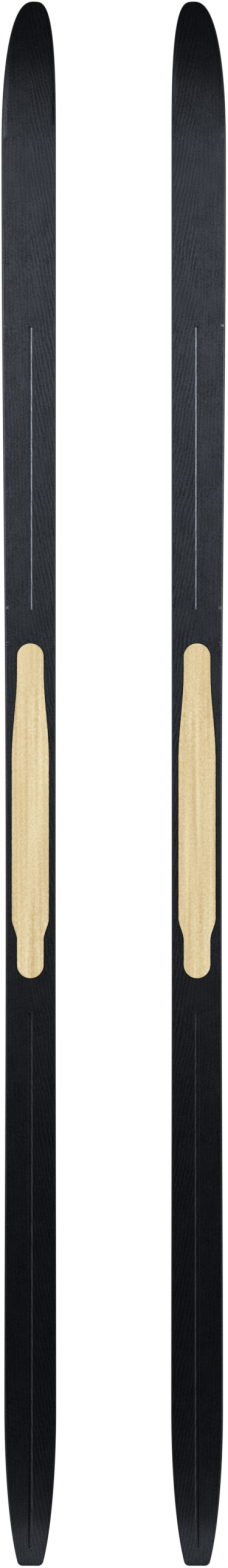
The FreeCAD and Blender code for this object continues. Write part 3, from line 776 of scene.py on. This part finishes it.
def sidewall_finish(name):
    """Milled plastic, with fine lines from the cutter along the ski."""
    f = Finish(name)
    lines = f.noise(f.mapped((2500, 2500, 6)), 1.0, 2.0)
    cloud = f.noise(f.mapped((1, 1, 0.3)), 60.0, 3.0)
    f.colour(f.ramp(f.math("MULTIPLY_ADD", lines, 0.5, f.math("MULTIPLY", cloud, 0.5)),
                    [(0.3, rgb(9, 9, 10)), (0.7, rgb(20, 20, 22))]))
    f.roughness(f.ramp(lines, [(0.3, 0.38), (0.7, 0.52)]))
    f.bump(lines, 0.00003, 0.5)
    return f.material


def metal_finish(name, dark, light, rough, stretch=(2200, 90, 2200)):
    """Metal with fine drawn or brushed lines, slight clouding and edges polished by use."""
    f = Finish(name)
    lines = f.noise(f.mapped(stretch), 1.0, 3.0)
    cloud = f.noise(f.mapped((1, 1, 1)), 120.0, 3.0)
    level = f.math("ADD", f.math("MULTIPLY", lines, 0.55), f.math("MULTIPLY", cloud, 0.45))
    polished = f.math("MULTIPLY", f.soft_edges(0.0003), 0.25)
    f.colour(f.ramp(f.math("ADD", level, polished), [(0.3, dark), (0.7, light)]))
    f.roughness(f.ramp(f.math("SUBTRACT", level, polished), [(0.3, rough), (0.7, rough + 0.15)]))
    f.constant(Metallic=1.0)
    f.bump(lines, 0.00002, 0.5)
    return f.material


def topsheet_finish(name):
    """Satin film over glass cloth: charcoal, with plain sand bands at both ends and two pinstripes."""
    f = Finish(name)
    x, _, z = f.axes()
    weave_x = f.math("SINE", f.math("MULTIPLY", x, 2 * math.pi / CLOTH_PITCH))
    weave_z = f.math("SINE", f.math("MULTIPLY", z, 2 * math.pi / CLOTH_PITCH))
    weave = f.math("MULTIPLY", weave_x, weave_z)
    haze = f.noise(f.mapped((1, 1, 0.12)), 45.0, 4.0)
    scuffs = f.noise(f.mapped((900, 900, 16), (0, 9, 0)), 1.0, 2.0, 0.7)
    cloth = f.math("MULTIPLY_ADD", weave, 0.18, f.math("MULTIPLY_ADD", haze, 0.6, 0.2))
    dark = f.ramp(cloth, [(0.3, rgb(26, 31, 32)), (0.7, rgb(46, 54, 54))])
    sand = f.ramp(cloth, [(0.3, rgb(178, 158, 116)), (0.7, rgb(206, 189, 150))])
    aside = f.math("ABSOLUTE", f.math("SUBTRACT", f.math("ABSOLUTE", x), SPACING_HALF * MM))
    stripes = f.math("COMPARE", aside, STRIPE_ASIDE, STRIPE_HALF)
    tail_end, tip_end = BAND_ENDS
    bands = f.math("MAXIMUM", f.math("LESS_THAN", z, tail_end), f.math("GREATER_THAN", z, tip_end))
    for height in RING_HEIGHTS:
        bands = f.math("MAXIMUM", bands, f.math("COMPARE", z, height, RING_HALF))
    printed = f.math("MAXIMUM", bands, stripes)
    colour = f.mix(printed, dark, sand)
    f.colour(f.mix(f.ramp(scuffs, [(0.68, 0.0), (0.8, 0.35)]), colour, rgb(120, 122, 120)))
    f.roughness(f.ramp(haze, [(0.3, 0.34), (0.7, 0.46)]))
    f.constant(Specular_IOR_Level=0.4, Coat_Weight=0.2, Coat_Roughness=0.2)
    f.bump(f.math("MULTIPLY_ADD", weave, 0.25, haze), 0.00004, 0.5)
    return f.material


def wood_finish(name):
    """Long grain in laminated strips."""
    f = Finish(name)
    grain = f.noise(f.mapped((900, 900, 9)), 1.0, 4.0)
    strip = f.noise(f.mapped((110, 1, 0.5)), 1.0, 0.0)
    tone = f.mix(strip, rgb(196, 158, 104), rgb(214, 182, 128))
    f.colour(f.mix(f.ramp(grain, [(0.35, 0.0), (0.7, 0.7)]), tone, rgb(158, 116, 68)))
    f.roughness(f.ramp(grain, [(0.3, 0.55), (0.7, 0.7)]))
    f.bump(grain, 0.0001, 0.5)
    return f.material


def laminate_finish(name):
    """Glass fibre in clear resin."""
    f = Finish(name)
    fibre = f.noise(f.mapped((1500, 1500, 12)), 1.0, 3.0)
    f.colour(f.ramp(fibre, [(0.3, rgb(150, 158, 128)), (0.7, rgb(186, 192, 160))]))
    f.roughness(f.ramp(fibre, [(0.3, 0.25), (0.7, 0.4)]))
    f.bump(fibre, 0.00005, 0.5)
    return f.material


# Studio

def stage_finish(name, clearness=None):
    """A plain pale floor, or a dark sheet that lets through the given share at each height."""
    f = Finish(name)
    if clearness is None:
        speckle = f.noise(f.mapped((1, 1, 1)), 9.0, 3.0)
        f.colour(f.ramp(speckle, [(0.3, rgb(232, 232, 232)), (0.7, rgb(238, 238, 238))]))
        f.constant(Roughness=0.9, Specular_IOR_Level=0.1)
        return f.material
    clear = f.nodes.new("ShaderNodeBsdfTransparent")
    black = f.nodes.new("ShaderNodeEmission")
    black.inputs["Strength"].default_value = 0.0
    choice = f.nodes.new("ShaderNodeMixShader")
    height = f.math("DIVIDE", f.axes()[2], SCREEN_TOP)
    stops = [(z / SCREEN_TOP, share) for z, share in clearness]
    f.feed(choice.inputs[0], f.ramp(height, stops))
    f.feed(choice.inputs[1], black.outputs[0])
    f.feed(choice.inputs[2], clear.outputs[0])
    f.links.new(choice.outputs[0], f.out.inputs["Surface"])
    f.nodes.remove(f.shader)
    return f.material


def stage_mesh(name, points, faces, material):
    mesh = bpy.data.meshes.new(name)
    mesh.from_pydata(points, [], faces)
    mesh.materials.append(material)
    made = bpy.data.objects.new(name, mesh)
    bpy.context.scene.collection.objects.link(made)
    return made


def only_reflections(screen):
    """A screen that shapes reflections and nothing else."""
    screen.visible_camera = False
    screen.visible_diffuse = False
    screen.visible_transmission = False
    screen.visible_shadow = False


def graduated_screen():
    """A sheet in front of the bases and over the tips, for the gloss that fades along the skis."""
    outline = [(-SCREEN_AWAY, z) for z in between(SCREEN_LOW, SCREEN_TURN, 18)]
    outline += [(-SCREEN_AWAY * math.cos(a), SCREEN_TURN + SCREEN_AWAY * math.sin(a))
                for a in between(0.0, math.pi / 2, 16)[1:]]
    outline.append((SCREEN_BACK, SCREEN_TOP))
    points = [(x, y, z) for y, z in outline for x in (-SCREEN_HALF, SCREEN_HALF)]
    faces = [(2 * k, 2 * k + 1, 2 * k + 3, 2 * k + 2) for k in range(len(outline) - 1)]
    screen = stage_mesh("graduated_screen", points, faces, stage_finish("screen", SCREEN_CLEAR))
    only_reflections(screen)


def upright_card(name, start, end, heights, material):
    """A flat upright sheet between two places on the floor plan."""
    low, high = heights
    points = [(*start, low), (*end, low), (*end, high), (*start, high)]
    only_reflections(stage_mesh(name, points, [(0, 1, 2, 3)], material))


def groove_cards():
    """A bright card beyond each ski's outer edge, and a dark one between the skis."""
    dark = stage_finish("dark_card", ((0.0, 0.0), (SCREEN_TOP, 0.0)))
    upright_card("middle_card", (0.0, -SCREEN_AWAY), MIDDLE_CARD_END, MIDDLE_CARD_HEIGHTS, dark)
    bright = bpy.data.materials.new("bright_card")
    bright.use_nodes = True
    nodes = bright.node_tree.nodes
    nodes.clear()
    glow = nodes.new("ShaderNodeEmission")
    glow.inputs["Strength"].default_value = CARD_LIGHT
    out = nodes.new("ShaderNodeOutputMaterial")
    bright.node_tree.links.new(glow.outputs[0], out.inputs["Surface"])
    for side, label in ((-1, "left"), (1, "right")):
        start = (side * CARD_START[0], CARD_START[1])
        end = (side * CARD_END[0], CARD_END[1])
        upright_card(f"{label}_card", start, end, CARD_HEIGHTS, bright)


def floor():
    corners = [(x * FLOOR_HALF, y * FLOOR_HALF, 0) for x, y in ((-1, -1), (1, -1), (1, 1), (-1, 1))]
    stage_mesh("floor", corners, [(0, 1, 2, 3)], stage_finish("floor"))


def lamp(name, place, size, watts):
    """A square soft light aimed at the middle of the skis, not seen by the camera."""
    light = bpy.data.lights.new(name, "AREA")
    light.shape = "RECTANGLE"
    light.size = size
    light.size_y = size
    light.energy = watts
    made = bpy.data.objects.new(name, light)
    made.location = place
    way = Vector(LAMP_AIM) - Vector(place)
    made.rotation_euler = way.to_track_quat("-Z", "Y").to_euler()
    made.visible_camera = False
    bpy.context.scene.collection.objects.link(made)


def world():
    """White where it is seen, reflected or seen through; a soft even light elsewhere."""
    made = bpy.data.worlds.new("studio")
    made.use_nodes = True
    nodes = made.node_tree.nodes
    links = made.node_tree.links
    nodes.clear()
    path = nodes.new("ShaderNodeLightPath")
    seen = path.outputs["Is Camera Ray"]
    for other in ("Is Glossy Ray", "Is Transmission Ray"):
        larger = nodes.new("ShaderNodeMath")
        larger.operation = "MAXIMUM"
        links.new(seen, larger.inputs[0])
        links.new(path.outputs[other], larger.inputs[1])
        seen = larger.outputs[0]
    white = nodes.new("ShaderNodeBackground")
    soft = nodes.new("ShaderNodeBackground")
    white.inputs["Strength"].default_value = 1.0
    white.inputs["Color"].default_value = (1, 1, 1, 1)
    soft.inputs["Strength"].default_value = WORLD_LIGHT
    soft.inputs["Color"].default_value = (1, 1, 1, 1)
    choice = nodes.new("ShaderNodeMixShader")
    out = nodes.new("ShaderNodeOutputWorld")
    links.new(seen, choice.inputs[0])
    links.new(soft.outputs[0], choice.inputs[1])
    links.new(white.outputs[0], choice.inputs[2])
    links.new(choice.outputs[0], out.inputs["Surface"])
    bpy.context.scene.world = made
    made.cycles.sampling_method = "NONE"


def camera():
    """Straight at the bases, level, with no perspective, filling the tall frame with the pair."""
    data = bpy.data.cameras.new("camera")
    data.type = "ORTHO"
    data.ortho_scale = VIEW_HEIGHT
    made = bpy.data.objects.new("camera", data)
    made.location = (VIEW_SIDE, -VIEW_AWAY, VIEW_MIDDLE)
    made.rotation_euler = (math.pi / 2, 0, 0)
    bpy.context.scene.collection.objects.link(made)
    bpy.context.scene.camera = made


camera()
world()
floor()
graduated_screen()
groove_cards()
lamp("front_soft", (-1.4, -2.6, 2.8), 1.6, 16.0)
lamp("back_soft", (1.2, 2.4, 2.6), 1.4, 22.0)
bpy.context.scene.view_settings.view_transform = "Standard"

# The left ski's binding line, from its toe plate
low_plate, high_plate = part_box("left_toe_plate")
SPACING_HALF = -(low_plate.x + high_plate.x) / 2 / MM

# Finishes by the record's slots
plush = plush_finish("kick_plush")
sidewall = sidewall_finish("sidewall_abs")
topsheet = topsheet_finish("topsheet_film")
bases = {-1: base_finish("base_left", -1), 1: base_finish("base_right", 1)}
finishes = {
    "base_plastic": bases[-1],
    "kick_plush": plush,
    "topsheet_film": topsheet,
    "sidewall_abs": sidewall,
    "glass_laminate": laminate_finish("glass_laminate"),
    "skin_glue": moulded_finish("skin_glue", rgb(40, 38, 36), rgb(58, 55, 50), 0.5),
    "core_wood": wood_finish("core_wood"),
    "reinforcement_sheet": moulded_finish("reinforcement_sheet", rgb(92, 64, 38), rgb(112, 80, 48),
                                          0.5),
    "binding_steel": metal_finish("binding_steel", rgb(140, 142, 145), rgb(176, 178, 180), 0.3),
    "binding_plastic": moulded_finish("binding_plastic", rgb(24, 25, 27), rgb(40, 41, 44), 0.42),
    "lever_alloy": metal_finish("lever_alloy", rgb(168, 170, 173), rgb(200, 201, 203), 0.34,
                                (1600, 1600, 1600)),
    "bright_steel": metal_finish("bright_steel", rgb(160, 161, 163), rgb(205, 205, 206), 0.18),
    "screw_steel": metal_finish("screw_steel", rgb(128, 129, 131), rgb(172, 172, 172), 0.28),
    "flexor_rubber": moulded_finish("flexor_rubber", rgb(30, 30, 31), rgb(46, 46, 47), 0.62, 2600.0),
    "pad_rubber": moulded_finish("pad_rubber", rgb(44, 44, 45), rgb(62, 62, 62), 0.66, 2200.0),
}
for entry in frame["record"]["subparts"]:
    node = frame["nodes"][entry["node"]]
    node.data.materials.clear()
    node.data.materials.append(finishes[entry["material_slot"]])

spring_slot = next(entry["material_slot"] for entry in frame["record"]["subparts"]
                   if entry["node"] == "left_jaw_spring")

# The visible pieces that stand for the CAD's, on each ski
rng = random.Random(7)

for hand, label in ((-1, "left"), (1, "right")):
    rows = [base_row(z) for z in base_heights()]
    points, faces = plate([r[0] for r in rows], [r[1] for r in rows])
    sheet = piece(f"{label}_running_base", placed(points, hand), faces, bases[hand])
    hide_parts(f"{label}_base_sheet")

    heights, front, back = skin_grid(rng)
    points, faces = plate(front, back)
    skin = piece(f"{label}_plush", placed(points, hand), faces, plush, 70.0)
    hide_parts(f"{label}_kick_skin")

    lengths = between(TAIL_PROTECTOR_LONG, SHOVEL_Z, WALL_ROWS)
    lengths += between(SHOVEL_Z, SKI_LENGTH - TIP_SPACER_LONG, WALL_TIP_ROWS)[1:]
    for side, edge in ((-1, "outer"), (1, "inner")):
        points, faces = swept(side_sections(side, lengths))
        wall = piece(f"{label}_{edge}_wall", placed(points, hand), faces, sidewall)
        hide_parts(f"{label}_{edge}_sidewall")

    for path, made_name, node_name in ((tip_path(), "tip_rim", "tip_spacer"),
                                       (tail_path(), "tail_rim", "tail_protector")):
        points, faces = swept(rim_sections(path))
        rim = piece(f"{label}_{made_name}", placed(points, hand), faces, sidewall)
        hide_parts(f"{label}_{node_name}")

    rows = [topsheet_row(z) for z in body_heights(TOPSHEET_INSET)]
    points, faces = plate([r[0] for r in rows], [r[1] for r in rows])
    film = piece(f"{label}_top_film", placed(points, hand), faces, topsheet)
    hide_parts(f"{label}_topsheet")

    low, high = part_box(f"{label}_jaw_spring")
    points, faces = swept(spring_sections(low, high))
    coil = piece(f"{label}_coil", points, faces, finishes[spring_slot])
    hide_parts(f"{label}_jaw_spring")
    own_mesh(coil)
